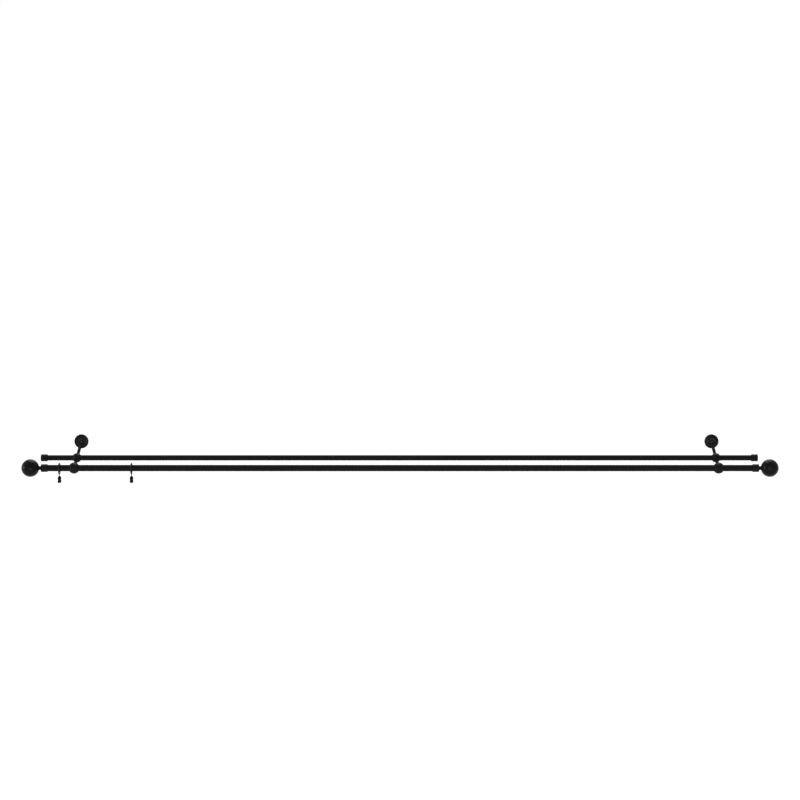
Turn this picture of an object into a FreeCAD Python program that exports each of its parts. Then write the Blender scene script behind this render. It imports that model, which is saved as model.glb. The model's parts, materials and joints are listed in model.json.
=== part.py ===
import FreeCAD, Part
import math
import os

# Double curtain pole on two sloping wall brackets, in millimetres, with +Z up.
# The wall is the plane y = 0 and the room is on the -Y side. The rods run along X.
# The origin is on the wall, at the middle of the left bracket's wall plate.

# Rods: both are cut to one length, and the rear one sits a little further left
rod_length = 2100.0
left_overhang = 94.4
right_overhang = 115.6
rear_rod_shift = -1.9
front_rod_diameter = 19.0
front_rod_wall = 1.0
rear_rod_diameter = 16.0
rear_rod_wall = 1.0
slip_fit = 0.1

# Headless screws: the hexagon socket, as shares of the screw's diameter
hexagon_radius_share = 0.29
hexagon_depth_share = 0.4

# Bracket arm: the distances are measured along its slope, from the wall
arm_slope = 24.3
wall_to_rear_rod = 98.0
rear_to_front_rod = 59.3
arm_diameter = 9.4
arm_end_inset = 0.5
spigot_diameter = 6.0
spigot_end_gap = 0.5
thread_fit = 0.04

# Wall plate, with two countersunk holes one above the other
plate_diameter = 36.0
plate_thickness = 3.0
plate_hole_diameter = 4.5
plate_hole_spacing = 25.0
countersink_diameter = 8.0

# Rosette: a turned cup with a raised middle and a sloping hub
rosette_diameter = 42.5
rosette_rim_height = 2.4
rosette_shoulder_height = 2.8
rosette_shoulder_width = 2.2
rosette_depth = 6.4
rosette_wall = 1.4
rosette_step_diameter = 24.0
rosette_step_height = 2.0
rosette_step_edge = 0.5
rosette_step_fillet = 0.8
hub_diameter = 15.0
hub_reach = 19.0
hub_edge = 0.6
hub_screw_length = 2.4
hub_screw_diameter = 3.0
hub_screw_from_end = 3.4

# Holders: balls that are bored for the rod, each with a screw from below
rear_holder_diameter = 28.0
front_holder_diameter = 33.0
holder_lip = 1.2
holder_screw_diameter = 5.0
holder_screw_recess = 1.0

# Finial: a ball on the neck of a beaded socket
ball_diameter = 52.2
ball_from_rod_end = 34.0
ball_flat_diameter = 14.0
socket_diameter = 23.3
socket_depth = 16.5
socket_end_wall = 2.0
socket_bead_height = 0.5
socket_edge = 0.4
neck_diameter = 11.0
neck_foot_diameter = 16.0
finial_screw_diameter = 5.0
finial_screw_reach = 11.0
finial_screw_head_diameter = 9.5
finial_screw_head_height = 2.8
socket_screw_diameter = 4.0
socket_screw_recess = 0.4

# End caps of the rear rod
cap_diameter = 21.4
cap_depth = 9.5
cap_end = 9.4
cap_bead_height = 0.5
cap_edge = 0.8

# Curtain rings: their places are measured from the left bracket
end_ring_offset = -43.3
span_ring_offset = 168.0
ring_inner_diameter = 23.0
ring_thickness = 5.6
ring_width = 3.2
ring_edge = 0.9
hang_gap = 0.3

# Eyelet under each ring
eyelet_stem_diameter = 2.2
eyelet_stem_depth = 4.0
eyelet_drop = 5.9
eyelet_width = 2.2
eyelet_wall = 1.1

# Clip: heights are measured from the pin that it hangs on, and depths from its middle
pin_diameter = 1.6
running_gap = 0.08
side_gap = 0.3
clip_width = 10.0
clip_waist = 8.6
clip_length = 18.9
pivot_drop = 9.3
leaf_inside = 2.2
leaf_thickness = 1.4
leaf_top_drop = 1.2
lever_top_drop = 3.7
lever_splay = 1.2
lip_height = 1.4
lip_gap = 0.15
rib_count = 3
rib_radius = 0.35
rib_length = 6.0
rib_pitch = 1.0
rib_inset = 0.9
knuckle_radius = 1.8
ear_radius = 1.7
ear_thickness = 1.6
ear_foot_drop = 4.5
cheek_thickness = 1.4
lug_thickness = 1.2
corner_radius = 1.6

# Torsion spring on the clip's pivot pin
wire_diameter = 0.5
coil_gap = 0.2
coil_turns = 2
coil_pitch = 0.75
leg_height = 4.2
leg_gap = 0.25

# Working values
slope = math.radians(arm_slope)
arm_direction = FreeCAD.Vector(0, -math.cos(slope), -math.sin(slope))
arm_underside = FreeCAD.Vector(0, math.sin(slope), -math.cos(slope))
across = FreeCAD.Vector(1, 0, 0)
into_room = FreeCAD.Vector(0, -1, 0)
down = FreeCAD.Vector(0, 0, -1)
front_rod_radius = front_rod_diameter / 2
rear_rod_radius = rear_rod_diameter / 2
arm_radius = arm_diameter / 2
bracket_spacing = rod_length - left_overhang - right_overhang
wall_to_front_rod = wall_to_rear_rod + rear_to_front_rod
front_axis = arm_direction * wall_to_front_rod
rear_axis = arm_direction * wall_to_rear_rod
ring_outer_radius = ring_inner_diameter / 2 + ring_thickness
ring_drop = ring_inner_diameter / 2 - front_rod_radius - hang_gap
hanger_drop = ring_drop + ring_outer_radius + eyelet_drop
pin_radius = pin_diameter / 2
arc_share = 1 - math.sqrt(0.5)
leaf_outside = leaf_inside + leaf_thickness


def at(x, axis):
    """The point at x on a line along X through axis."""
    return FreeCAD.Vector(x, axis.y, axis.z)


def rod(radius, start, length, direction):
    """A plain cylinder from start along direction."""
    return Part.makeCylinder(radius, length, start, direction)


def closed_face(corners):
    """A flat face inside straight lines between the corners."""
    return Part.Face(Part.makePolygon(corners + corners[:1]))


def outline_edges(steps):
    """Edges through steps: a point alone ends a line, and a pair of points is an arc's middle and end."""
    edges = []
    last = steps[0]
    for step in steps[1:]:
        if isinstance(step, tuple):
            edges.append(Part.Arc(last, step[0], step[1]).toShape())
            last = step[1]
        else:
            edges.append(Part.LineSegment(last, step).toShape())
            last = step
    edges.append(Part.LineSegment(last, steps[0]).toShape())
    return edges


def section_point(pair):
    """A (distance along the axis, radius) pair as a point of the section plane."""
    return FreeCAD.Vector(pair[1], 0, pair[0])


def rounded_corner(before, corner, after, rounding):
    """The start of the arc that rounds a corner between two straight lines, then its (middle, end)."""
    back = (before - corner).normalize()
    ahead = (after - corner).normalize()
    half_angle = back.getAngle(ahead) / 2
    reach = rounding / math.tan(half_angle)
    inwards = (back + ahead).normalize()
    middle = corner + inwards * (rounding / math.sin(half_angle) - rounding)
    return corner + back * reach, (middle, corner + ahead * reach)


def turned(steps, start, direction):
    """A turned solid. Steps are (distance along the axis, radius) points, or pairs of them for an arc.

    A third number in a point rounds the corner there, between two straight lines.
    """
    path = []
    for i, step in enumerate(steps):
        if isinstance(step[0], tuple):
            path.append(tuple(section_point(pair) for pair in step))
        elif len(step) == 2:
            path.append(section_point(step))
        else:
            last = path[-1][1] if isinstance(path[-1], tuple) else path[-1]
            path += rounded_corner(last, section_point(step), section_point(steps[i + 1]), step[2])
    face = Part.Face(Part.Wire(outline_edges(path)))
    solid = face.revolve(FreeCAD.Vector(), FreeCAD.Vector(0, 0, 1), 360)
    turn = FreeCAD.Rotation(FreeCAD.Vector(0, 0, 1), direction)
    solid.Placement = FreeCAD.Placement(start, turn)
    return solid


def tube(diameter, wall, start):
    outer = rod(diameter / 2, start, rod_length, across)
    return outer.cut(rod(diameter / 2 - wall, start, rod_length, across))


def headless_screw(diameter, length, tip, direction):
    """A headless screw with its tip at the given point and a hexagon socket in its outer end."""
    body = rod(diameter / 2, tip, length, direction)
    outer_end = tip + direction * length
    corners = []
    for i in range(6):
        angle = math.pi / 3 * i
        corners.append(FreeCAD.Vector(math.cos(angle), math.sin(angle), 0) * diameter * hexagon_radius_share)
    hexagon = closed_face(corners).extrude(FreeCAD.Vector(0, 0, diameter * hexagon_depth_share))
    turn = FreeCAD.Rotation(FreeCAD.Vector(0, 0, 1), -direction)
    hexagon.Placement = FreeCAD.Placement(outer_end, turn)
    return body.cut(hexagon)


# Bracket

def seat_distance(ball_radius):
    """How far from a ball's middle its flat for the arm's shoulder lies."""
    return math.sqrt(ball_radius ** 2 - arm_radius ** 2) - slip_fit


def spigot_length(ball_radius, rod_radius):
    return seat_distance(ball_radius) - rod_radius - slip_fit - spigot_end_gap


def wall_plate(x):
    base = FreeCAD.Vector(x, 0, 0)
    plate = rod(plate_diameter / 2, base, plate_thickness, into_room)
    sink = (countersink_diameter - plate_hole_diameter) / 2
    for end in (-1, 1):
        hole = base + FreeCAD.Vector(0, 0, end * plate_hole_spacing / 2)
        plate = plate.cut(rod(plate_hole_diameter / 2, hole, plate_thickness, into_room))
        foot = hole + into_room * (plate_thickness - sink)
        cone = Part.makeCone(plate_hole_diameter / 2, countersink_diameter / 2, sink, foot, into_room)
        plate = plate.cut(cone)
    return plate.cut(arm_bore(x, thread_fit, -arm_diameter, 2 * arm_diameter))


def arm_bore(x, clearance, begin, end):
    start = FreeCAD.Vector(x, 0, 0) + arm_direction * begin
    return rod(arm_radius + clearance, start, end - begin, arm_direction)


def rosette_outline(inset):
    """The cup's section, outside for no inset and inside for an inset of one wall."""
    rim = rosette_diameter / 2 - inset
    step = rosette_step_diameter / 2 - inset
    low = rosette_depth - inset
    high = low + rosette_step_height
    side = rosette_rim_height - inset / 2
    rise = rosette_shoulder_height
    width = rosette_shoulder_width
    edge = rosette_step_edge
    return [
        (0, 0),
        (0, rim),
        (side, rim),
        ((side + rise * (1 - arc_share), rim - width * arc_share), (side + rise, rim - width)),
        (low, step, rosette_step_fillet),
        (high - edge, step),
        ((high - edge * arc_share, step - edge * arc_share), (high, step - edge)),
        (high, 0),
    ]


def rosette(x):
    base = FreeCAD.Vector(x, 0, 0)
    hub_root = hub_diameter / 2 * math.tan(slope) + arm_end_inset
    hub = turned([
        (hub_root, 0),
        (hub_root, hub_diameter / 2),
        (hub_reach, hub_diameter / 2, hub_edge),
        (hub_reach, 0),
    ], base, arm_direction)
    cup = turned(rosette_outline(0), base, into_room).fuse(hub)
    cup = cup.cut(turned(rosette_outline(rosette_wall), base, into_room))
    cup = cup.cut(arm_bore(x, slip_fit, 0, 2 * hub_reach))
    tip = hub_screw_tip(x)
    hole = rod(hub_screw_diameter / 2 + thread_fit, tip, hub_diameter, arm_underside)
    return cup.cut(hole).removeSplitter()


def hub_screw_tip(x):
    along = arm_direction * (hub_reach - hub_screw_from_end)
    return FreeCAD.Vector(x, 0, 0) + along + arm_underside * arm_radius


def arm_bar(begin, end, begin_spigot, end_spigot):
    """A round bar with a thinner spigot past each end that is given a length."""
    bar = rod(arm_radius, begin, (end - begin).Length, arm_direction)
    if begin_spigot > 0:
        start = begin - arm_direction * begin_spigot
        bar = bar.fuse(rod(spigot_diameter / 2, start, begin_spigot, arm_direction))
    return bar.fuse(rod(spigot_diameter / 2, end, end_spigot, arm_direction))


def long_arm(x):
    """The bar from the wall plate to the rear holder, cut parallel to the wall at its root."""
    ball = rear_holder_diameter / 2
    begin = FreeCAD.Vector(x, 0, 0) - arm_direction * arm_diameter
    end = at(x, rear_axis) - arm_direction * seat_distance(ball)
    bar = arm_bar(begin, end, 0, spigot_length(ball, rear_rod_radius))
    size = 4 * arm_diameter
    behind = Part.makeBox(size, size, size, FreeCAD.Vector(x - size / 2, -arm_end_inset, -size / 2))
    return bar.cut(behind)


def short_arm(x):
    rear = rear_holder_diameter / 2
    front = front_holder_diameter / 2
    begin = at(x, rear_axis) + arm_direction * seat_distance(rear)
    end = at(x, front_axis) - arm_direction * seat_distance(front)
    return arm_bar(begin, end, spigot_length(rear, rear_rod_radius), spigot_length(front, front_rod_radius))


def holder(centre, ball_radius, rod_radius, arm_sides):
    """A ball bored along X for its rod, with a flat and a threaded hole on each side that an arm meets."""
    bore = rod_radius + slip_fit
    end = math.sqrt(ball_radius ** 2 - (bore + holder_lip) ** 2)
    ball = turned([
        (-end, bore),
        (-end, bore + holder_lip),
        ((0, ball_radius), (end, bore + holder_lip)),
        (end, bore),
    ], centre, across)
    for side in arm_sides:
        direction = arm_direction * side
        seat = centre + direction * seat_distance(ball_radius)
        ball = ball.cut(rod(arm_radius + slip_fit, seat, ball_radius, direction))
        ball = ball.cut(rod(spigot_diameter / 2 + thread_fit, centre, ball_radius, direction))
    return ball.cut(rod(holder_screw_diameter / 2 + thread_fit, centre, ball_radius, down))


def rear_holder(x):
    return holder(at(x, rear_axis), rear_holder_diameter / 2, rear_rod_radius, (-1, 1))


def front_holder(x):
    return holder(at(x, front_axis), front_holder_diameter / 2, front_rod_radius, (-1,))


def holder_screw(centre, ball_diameter_here, rod_radius):
    length = ball_diameter_here / 2 - rod_radius - holder_screw_recess
    return headless_screw(holder_screw_diameter, length, centre + down * rod_radius, down)


# Finials and caps

def beads(begin, end, radius, height, edge):
    """Two convex beads side by side, as arcs that meet in a shallow groove, between rounded edges."""
    middle = (begin + end) / 2
    first = begin + edge
    last = end - edge
    low = radius - height
    near = edge * arc_share
    return [
        (begin, low - edge),
        ((begin + near, low - near), (first, low)),
        (((first + middle) / 2, radius), (middle, low)),
        (((middle + last) / 2, radius), (last, low)),
        ((end - near, low - near), (end, low - edge)),
    ]


def ball_seat():
    """Distance from the ball's middle to the flat that the neck meets."""
    return math.sqrt((ball_diameter / 2) ** 2 - (ball_flat_diameter / 2) ** 2)


def finial_socket(rod_end, outward):
    neck_end = ball_from_rod_end - ball_seat()
    neck_middle = (socket_end_wall + neck_end) / 2
    bore = front_rod_radius + slip_fit
    socket = turned([
        (-socket_depth, bore),
        *beads(-socket_depth, socket_end_wall, socket_diameter / 2, socket_bead_height, socket_edge),
        (socket_end_wall, neck_foot_diameter / 2),
        ((neck_middle, neck_diameter / 2), (neck_end, ball_flat_diameter / 2)),
        (neck_end, finial_screw_diameter / 2 + thread_fit),
        (0, finial_screw_diameter / 2 + thread_fit),
        (0, bore),
    ], rod_end, outward)
    hole = rod_end - outward * (socket_depth / 2)
    return socket.cut(rod(socket_screw_diameter / 2 + thread_fit, hole, socket_diameter, down))


def finial_ball(rod_end, outward):
    radius = ball_diameter / 2
    hole = finial_screw_diameter / 2 + thread_fit
    hole_end = finial_screw_reach + spigot_end_gap - ball_seat()
    return turned([
        (-ball_seat(), hole),
        (-ball_seat(), ball_flat_diameter / 2),
        ((0, radius), (radius, 0)),
        (hole_end, 0),
        (hole_end, hole),
    ], rod_end + outward * ball_from_rod_end, outward)


def finial_screw(rod_end, outward):
    """The screw from inside the socket, through the neck and into the ball."""
    reach = ball_from_rod_end - ball_seat() + finial_screw_reach
    shank = rod(finial_screw_diameter / 2, rod_end, reach, outward)
    start = rod_end - outward * finial_screw_head_height
    return shank.fuse(rod(finial_screw_head_diameter / 2, start, finial_screw_head_height, outward))


def socket_screw(rod_end, outward):
    length = socket_diameter / 2 - front_rod_radius - socket_screw_recess
    tip = rod_end - outward * (socket_depth / 2) + down * front_rod_radius
    return headless_screw(socket_screw_diameter, length, tip, down)


def rear_cap(rod_end, outward):
    bore = rear_rod_radius + slip_fit
    return turned([
        (-cap_depth, bore),
        *beads(-cap_depth, cap_end, cap_diameter / 2, cap_bead_height, cap_edge),
        (cap_end, 0),
        (0, 0),
        (0, bore),
    ], rod_end, outward)


# Rings and clips

def curtain_ring(x):
    centre = at(x, front_axis) + down * ring_drop
    inner = ring_inner_diameter / 2
    outer = ring_outer_radius
    half = ring_width / 2
    flat = half - ring_edge
    near = ring_edge * arc_share
    ring = turned([
        (-flat, inner),
        ((-half + near, inner + near), (-half, inner + ring_edge)),
        (-half, outer - ring_edge),
        ((-half + near, outer - near), (-flat, outer)),
        (flat, outer),
        ((half - near, outer - near), (half, outer - ring_edge)),
        (half, inner + ring_edge),
        ((half - near, inner + near), (flat, inner)),
    ], centre, across)
    start = centre + down * (outer - eyelet_stem_depth)
    return ring.cut(rod(eyelet_stem_diameter / 2 + thread_fit, start, ring_outer_radius, down))


def eyelet(x):
    """A stem in the ring's bottom that ends in an eye for the clip's hanging pin."""
    hanger = at(x, front_axis) + down * hanger_drop
    hole = pin_radius + running_gap
    top = hanger - down * (eyelet_drop + eyelet_stem_depth - spigot_end_gap)
    stem = rod(eyelet_stem_diameter / 2, top, (hanger - top).Length, down)
    eye = rod(hole + eyelet_wall, hanger - across * (eyelet_width / 2), eyelet_width, across)
    return stem.fuse(eye).cut(rod(hole, hanger - across * eyelet_width, 2 * eyelet_width, across))


def side_plate(steps, inside, thickness):
    """A pair of plates across X, cut to a side outline of (y, z) steps, from inside outwards on each side."""
    def point(pair):
        return FreeCAD.Vector(0, pair[0], pair[1])

    path = [tuple(point(p) for p in s) if isinstance(s[0], tuple) else point(s) for s in steps]
    face = Part.Face(Part.Wire(outline_edges(path)))
    plates = []
    for begin in (inside, -inside - thickness):
        plate = face.extrude(across * thickness)
        plate.translate(across * begin)
        plates.append(plate)
    return plates


def leaf(side, top, splay):
    """One half of the clip before its lugs: a leaf on the +Y or -Y side, with a lip at its foot."""
    lip_top = lip_height - clip_length
    outside = side * leaf_outside
    inside = side * leaf_inside
    lip = side * lip_gap
    bend = knuckle_radius - pivot_drop
    steps = [
        FreeCAD.Vector(0, outside + side * splay, top),
        FreeCAD.Vector(0, outside, bend),
        FreeCAD.Vector(0, outside, lip_top),
        FreeCAD.Vector(0, side * leaf_inside, -clip_length),
        FreeCAD.Vector(0, lip, -clip_length),
        FreeCAD.Vector(0, lip, lip_top),
        FreeCAD.Vector(0, inside, lip_top + leaf_inside),
        FreeCAD.Vector(0, inside, bend),
        FreeCAD.Vector(0, inside + side * splay, top),
    ]
    slab = closed_face(steps).extrude(across * clip_width)
    slab.translate(across * (-clip_width / 2))
    return slab.common(front_outline(top))


def front_outline(top):
    """The leaf's outline seen from the room: a wide lever and a wide jaw, with a waist at the pivot."""
    half = clip_width / 2
    waist = clip_waist / 2
    soft = corner_radius * arc_share
    inner = half - corner_radius
    depth = 4 * leaf_outside
    right = [
        ((half - soft, top - soft), (half, top - corner_radius)),
        (half, knuckle_radius - pivot_drop + corner_radius),
        ((waist, -pivot_drop), (half, -pivot_drop - knuckle_radius - corner_radius)),
        (half, corner_radius - clip_length),
        ((half - soft, soft - clip_length), (inner, -clip_length)),
    ]
    path = [FreeCAD.Vector(inner, 0, top)]
    for step in right:
        if isinstance(step[0], tuple):
            path.append(tuple(FreeCAD.Vector(p[0], 0, p[1]) for p in step))
        else:
            path.append(FreeCAD.Vector(step[0], 0, step[1]))
    edges = outline_edges(path + [FreeCAD.Vector(0, 0, -clip_length), FreeCAD.Vector(0, 0, top)])
    face = Part.Face(Part.Wire(edges))
    block = face.extrude(FreeCAD.Vector(0, depth, 0))
    block.translate(FreeCAD.Vector(0, -depth / 2, 0))
    return block.fuse(block.mirror(FreeCAD.Vector(), across)).removeSplitter()


def grip_ribs(side, splay):
    """Finger ribs with round ends, across the outside of a leaf and all along the lever's height."""
    bend = knuckle_radius - pivot_drop
    lean = splay / (-lever_top_drop - bend)
    half = rib_length / 2
    soft = rib_radius * arc_share
    near = rib_radius - soft
    ribs = []
    for i in range(rib_count):
        height = -lever_top_drop - rib_inset - i * rib_pitch
        depth = side * (leaf_outside + lean * (height - bend))
        ribs.append(turned([
            (-half, 0),
            ((soft - half, near), (rib_radius - half, rib_radius)),
            (half - rib_radius, rib_radius),
            ((half - soft, near), (half, 0)),
        ], FreeCAD.Vector(0, depth, height), across))
    return ribs


def lug_outline(side, centre_z, radius):
    """A rounded lug from the leaf on that side out to a knuckle about the middle plane."""
    return [
        (side * leaf_inside, centre_z + radius),
        (0, centre_z + radius),
        ((-side * radius, centre_z), (0, centre_z - radius)),
        (side * leaf_inside, centre_z - radius),
    ]


def pin_hole(z, clearance):
    start = FreeCAD.Vector(-clip_width, 0, z)
    return rod(pin_radius + clearance, start, 2 * clip_width, across)


def clip_body():
    """The rear half: its leaf, two ears for the hanging pin and two cheeks for the pivot pin."""
    ear_inside = eyelet_width / 2 + side_gap
    ear_slant = ear_radius * (1 - arc_share)
    ears = side_plate([
        (leaf_outside, -ear_foot_drop),
        (leaf_outside, -leaf_top_drop),
        ((ear_slant, ear_slant), (0, ear_radius)),
        ((-ear_radius, 0), (0, -ear_radius)),
        (leaf_inside, -ear_foot_drop),
    ], ear_inside, ear_thickness)
    cheeks = side_plate(lug_outline(1, -pivot_drop, knuckle_radius), cheek_inside(), cheek_thickness)
    body = leaf(1, -leaf_top_drop, 0).multiFuse(ears + cheeks + grip_ribs(1, 0))
    return body.cut(pin_hole(0, thread_fit)).cut(pin_hole(-pivot_drop, thread_fit))


def cheek_inside():
    return clip_waist / 2 - cheek_thickness


def lug_inside():
    return cheek_inside() - side_gap - lug_thickness


def clip_jaw():
    """The front half: its leaf flares out above the pivot as a lever, and its lugs turn on the pivot pin."""
    lugs = side_plate(lug_outline(-1, -pivot_drop, knuckle_radius), lug_inside(), lug_thickness)
    jaw = leaf(-1, -lever_top_drop, lever_splay).multiFuse(lugs + grip_ribs(-1, lever_splay))
    return jaw.cut(pin_hole(-pivot_drop, running_gap))


def clip_pin(z, half_length):
    return rod(pin_radius, FreeCAD.Vector(-half_length, 0, z), 2 * half_length, across)


def clip_spring():
    """A coil round the pivot pin, whose wire runs on along its tangents as a leg up against each leaf.

    The front leg's foot is where the coil begins, and the tilts end both legs just short of the leaves.
    """
    wire = wire_diameter / 2
    coil = pin_radius + coil_gap + wire
    lever_rise = pivot_drop - lever_top_drop - knuckle_radius
    lever_lean = lever_splay * (leg_height - knuckle_radius) / lever_rise
    reach = leaf_inside - wire - leg_gap
    rear_tilt = math.asin((reach - coil) / leg_height)
    front_tilt = math.asin((reach + lever_lean - coil) / leg_height)
    turns = coil_turns + 0.5 - (rear_tilt + front_tilt) / (2 * math.pi)
    length = turns * coil_pitch
    helix = Part.makeHelix(coil_pitch, length, coil)
    helix.rotate(FreeCAD.Vector(), FreeCAD.Vector(0, 1, 0), 90)
    helix.rotate(FreeCAD.Vector(), across, math.degrees(front_tilt) - 90)
    helix.translate(FreeCAD.Vector(-length / 2, 0, -pivot_drop))
    first = helix.Edges[0]
    last = helix.Edges[-1]
    foot = first.valueAt(first.FirstParameter)
    foot_direction = first.tangentAt(first.FirstParameter)
    head = last.valueAt(last.LastParameter)
    front_tip = foot - foot_direction * leg_height
    rear_tip = head + last.tangentAt(last.LastParameter) * leg_height
    front_leg = Part.LineSegment(front_tip, foot).toShape()
    rear_leg = Part.LineSegment(head, rear_tip).toShape()
    sweep = Part.BRepOffsetAPI.MakePipeShell(Part.Wire([front_leg, *helix.Edges, rear_leg]))
    sweep.setBiNormalMode(across)
    sweep.add(Part.Wire(Part.makeCircle(wire, front_tip, foot_direction)))
    sweep.build()
    sweep.makeSolid()
    return sweep.shape()


def hung(shape, x):
    """A clip piece moved from its own frame to the eyelet at x."""
    placed = shape.copy()
    placed.translate(at(x, front_axis) + down * hanger_drop)
    return placed


def bracket_parts(name, x):
    return {
        name + "_wall_plate": wall_plate(x),
        name + "_rosette": rosette(x),
        name + "_long_arm": long_arm(x),
        name + "_rear_holder": rear_holder(x),
        name + "_short_arm": short_arm(x),
        name + "_front_holder": front_holder(x),
    }


def ring_parts(name, x):
    ear_end = eyelet_width / 2 + side_gap + ear_thickness
    return {
        name + "_ring": curtain_ring(x),
        name + "_ring_eyelet": eyelet(x),
        name + "_clip_body": hung(clip_body(), x),
        name + "_clip_jaw": hung(clip_jaw(), x),
        name + "_clip_hanger_pin": hung(clip_pin(0, ear_end), x),
        name + "_clip_pivot_pin": hung(clip_pin(-pivot_drop, clip_waist / 2), x),
        name + "_clip_spring": hung(clip_spring(), x),
    }


def main():
    front_left = at(-left_overhang, front_axis)
    front_right = at(rod_length - left_overhang, front_axis)
    rear_left = at(rear_rod_shift - left_overhang, rear_axis)
    rear_right = at(rear_rod_shift + rod_length - left_overhang, rear_axis)
    finials = (("left", front_left, -across), ("right", front_right, across))
    parts = {
        "front_rod": tube(front_rod_diameter, front_rod_wall, front_left),
        "rear_rod": tube(rear_rod_diameter, rear_rod_wall, rear_left),
        "left_rear_cap": rear_cap(rear_left, -across),
        "right_rear_cap": rear_cap(rear_right, across),
        "finial_screws": Part.makeCompound([finial_screw(end, out) for _, end, out in finials]),
        "socket_grub_screws": Part.makeCompound([socket_screw(end, out) for _, end, out in finials]),
    }
    for name, end, out in finials:
        parts[name + "_finial_socket"] = finial_socket(end, out)
        parts[name + "_finial_ball"] = finial_ball(end, out)
    hub_screws = []
    rear_screws = []
    front_screws = []
    for name, x in (("left", 0.0), ("right", bracket_spacing)):
        parts.update(bracket_parts(name, x))
        hub_screws.append(headless_screw(hub_screw_diameter, hub_screw_length, hub_screw_tip(x), arm_underside))
        rear_screws.append(holder_screw(at(x, rear_axis), rear_holder_diameter, rear_rod_radius))
        front_screws.append(holder_screw(at(x, front_axis), front_holder_diameter, front_rod_radius))
    parts["rosette_grub_screws"] = Part.makeCompound(hub_screws)
    parts["rear_holder_grub_screws"] = Part.makeCompound(rear_screws)
    parts["front_holder_grub_screws"] = Part.makeCompound(front_screws)
    parts.update(ring_parts("end", end_ring_offset))
    parts.update(ring_parts("span", span_ring_offset))
    os.makedirs("parts", exist_ok=True)
    for name, shape in parts.items():
        shape.exportStep("parts/" + name + ".step")


main()
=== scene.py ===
"""Double curtain pole with ball finials and clip rings: finishes, fine details, light and camera."""

import json
import math

import bmesh
import bpy
import numpy as np
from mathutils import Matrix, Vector


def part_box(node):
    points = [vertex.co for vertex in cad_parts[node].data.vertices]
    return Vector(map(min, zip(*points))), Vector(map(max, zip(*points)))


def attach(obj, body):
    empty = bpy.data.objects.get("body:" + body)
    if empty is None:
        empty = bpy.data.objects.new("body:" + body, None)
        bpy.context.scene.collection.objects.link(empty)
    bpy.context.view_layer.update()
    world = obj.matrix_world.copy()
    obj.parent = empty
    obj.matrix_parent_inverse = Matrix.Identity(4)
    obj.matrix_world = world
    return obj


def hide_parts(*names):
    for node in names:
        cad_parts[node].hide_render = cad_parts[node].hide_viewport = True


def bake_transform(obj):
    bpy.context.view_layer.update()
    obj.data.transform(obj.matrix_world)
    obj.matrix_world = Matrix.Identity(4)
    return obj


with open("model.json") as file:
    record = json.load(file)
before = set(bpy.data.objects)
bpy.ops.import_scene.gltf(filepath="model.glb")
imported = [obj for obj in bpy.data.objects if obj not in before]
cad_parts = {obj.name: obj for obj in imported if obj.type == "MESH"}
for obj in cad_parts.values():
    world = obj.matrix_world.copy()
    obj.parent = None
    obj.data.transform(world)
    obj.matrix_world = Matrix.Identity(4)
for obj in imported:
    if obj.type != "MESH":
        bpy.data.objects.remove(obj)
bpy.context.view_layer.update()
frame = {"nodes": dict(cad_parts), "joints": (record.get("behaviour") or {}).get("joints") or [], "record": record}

MM = 0.001
RINGS = ("end", "span")
SIDES = ("left", "right")
ALONG_RODS = (1, 0, 0)
DOWN = np.array((0, 0, -1))

# Places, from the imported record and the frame

mounts = {mount["name"]: np.array(mount["pos_m"]) for mount in frame["record"]["mounts"]}
joints = {joint["name"]: joint for joint in frame["joints"]}
wall_points = {side: mounts[side + "_wall_face"] for side in SIDES}
front_axis = mounts["front_rod_run"] * (0, 1, 1)
rear_axis = mounts["rear_rod_run"] * (0, 1, 1)
rod_axes = {"front_rod": front_axis, "rear_rod": rear_axis}
arm_direction = rear_axis / np.linalg.norm(rear_axis)

# Camera: a long lens a little above the pole, pitched down

IMAGE_WIDTH = 800
CAMERA_FOCAL_PX = 2000
SENSOR_WIDTH = 36.0
CAMERA_PITCH = math.radians(4.5)
CAMERA_MIDDLE_X = 0.9556
CAMERA_DISTANCE = 5.864
CAMERA_RISE = 0.1996
CAMERA_CLIP = (0.1, 200)

# Studio: each softbox has a place, a size and a power

FLOOR_Z = -2.3
FLOOR_SIZE = 60.0
FLOOR_SHADE = 0.8
FLOOR_GLOW = 0.64
AMBIENT = 0.6
STUDIO_MIDDLE = (0.9556, -0.14, -0.06)
SOFTBOXES = {
    "top_softbox": ((0.95, 3.6, 7.5), (6.5, 4.4), 560),
    "left_softbox": ((-16.0, -2.4, 1.6), (5.8, 4.2), 1080),
    "front_softbox": ((0.95, -7.0, -0.7), (5.0, 1.6), 150),
}

# Sizes inside the boxes that the frame gives, as on the real pieces

ROD_WALL = 1.0 * MM
ROD_EDGE = 0.25 * MM
ROD_RUB_BEGIN = 7.0 * MM
ROD_RUB_FULL = 9.2 * MM
ROD_RUB_OVER = 10.5 * MM

CAP_DEPTH = 9.5 * MM
CAP_EDGE = 0.8 * MM
BEAD_HEIGHT = 0.5 * MM
SLIP_FIT = 0.1 * MM
BALL_BORE_RADIUS = 2.54 * MM
BALL_BORE_DEPTH = 11.5 * MM

ARM_RADIUS = 4.7 * MM
ARM_SHOULDER_EDGE = 0.4 * MM
ARM_ROOT_INSET = 0.5 * MM
SPIGOT_RADIUS = 3.0 * MM
SPIGOT_END_GAP = 0.5 * MM
REAR_HOLDER_RADIUS = 14.0 * MM
FRONT_HOLDER_RADIUS = 16.5 * MM
PLATE_THICKNESS = 3.0 * MM
WELD_RADIUS = 1.1 * MM
WELD_RIPPLES = 26
WELD_RIPPLE_HEIGHT = 0.12 * MM

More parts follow.
